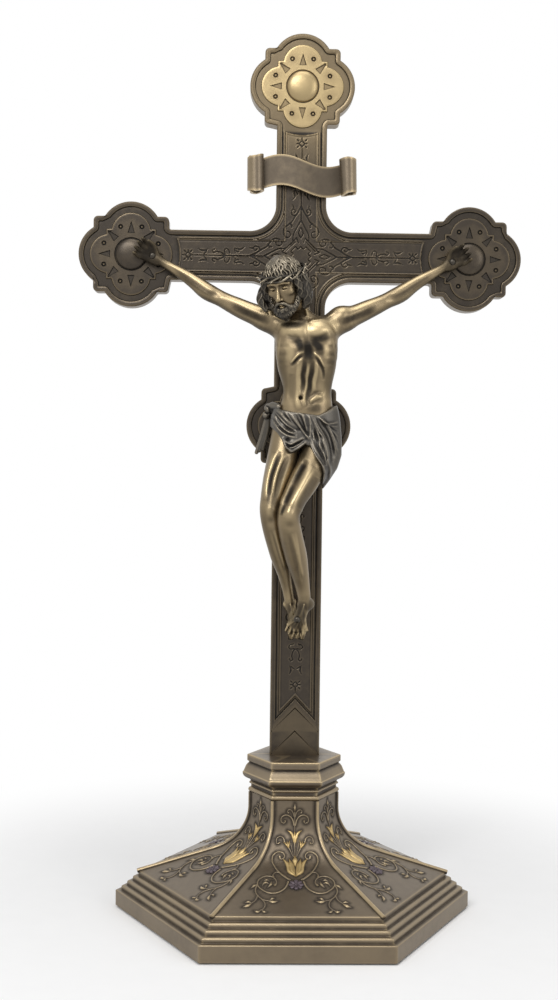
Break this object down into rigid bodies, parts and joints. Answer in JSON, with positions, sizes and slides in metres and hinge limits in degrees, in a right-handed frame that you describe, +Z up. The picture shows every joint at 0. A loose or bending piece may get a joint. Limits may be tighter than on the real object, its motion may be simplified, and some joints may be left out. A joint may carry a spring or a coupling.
{
  "type": "crucifix",
  "caption": "Standing altar crucifix: lobed cross with a figure and a bare name scroll, on a moulded collar and a flared hexagonal foot.",
  "frame": {"origin": "centre of the foot's underside, on the face of the felt pad", "axes": "+Z up along the stem, -Y the side that the figure faces, +X the viewer's right"},
  "size_m": [0.3018, 0.2118, 0.5999],
  "materials": {
    "antique_bronze": "antiqued, dark with rubbed edges",
    "rubbed_bronze": "satin, rubbed bright",
    "dark_bronze": "dark patina",
    "pewter_bronze": "grey patina with rubbed folds",
    "steel": "bright zinc",
    "board": "plain",
    "felt": "felt"
  },
  "bodies": {
    "root": {"arm_pegs": "steel", "base_shell": "antique_bronze", "bottom_plate": "board", "collar": "antique_bronze", "cross": "antique_bronze", "crown_of_thorns": "dark_bronze", "feet_nail": "dark_bronze", "felt_pad": "felt", "head": "dark_bronze", "hip_pegs": "steel", "left_arm": "rubbed_bronze", "left_boss": "antique_bronze", "left_hand_nail": "dark_bronze", "left_leg": "rubbed_bronze", "loincloth": "pewter_bronze", "lower_boss": "antique_bronze", "neck_peg": "steel", "plate_screws": "steel", "right_arm": "rubbed_bronze", "right_boss": "antique_bronze", "right_hand_nail": "dark_bronze", "right_leg": "rubbed_bronze", "tie_rod": "steel", "tie_rod_nut": "steel", "tie_rod_washer": "steel", "titulus_pins": "steel", "titulus_scroll": "antique_bronze", "top_boss": "antique_bronze", "torso": "rubbed_bronze"}
  },
  "joints": []
}
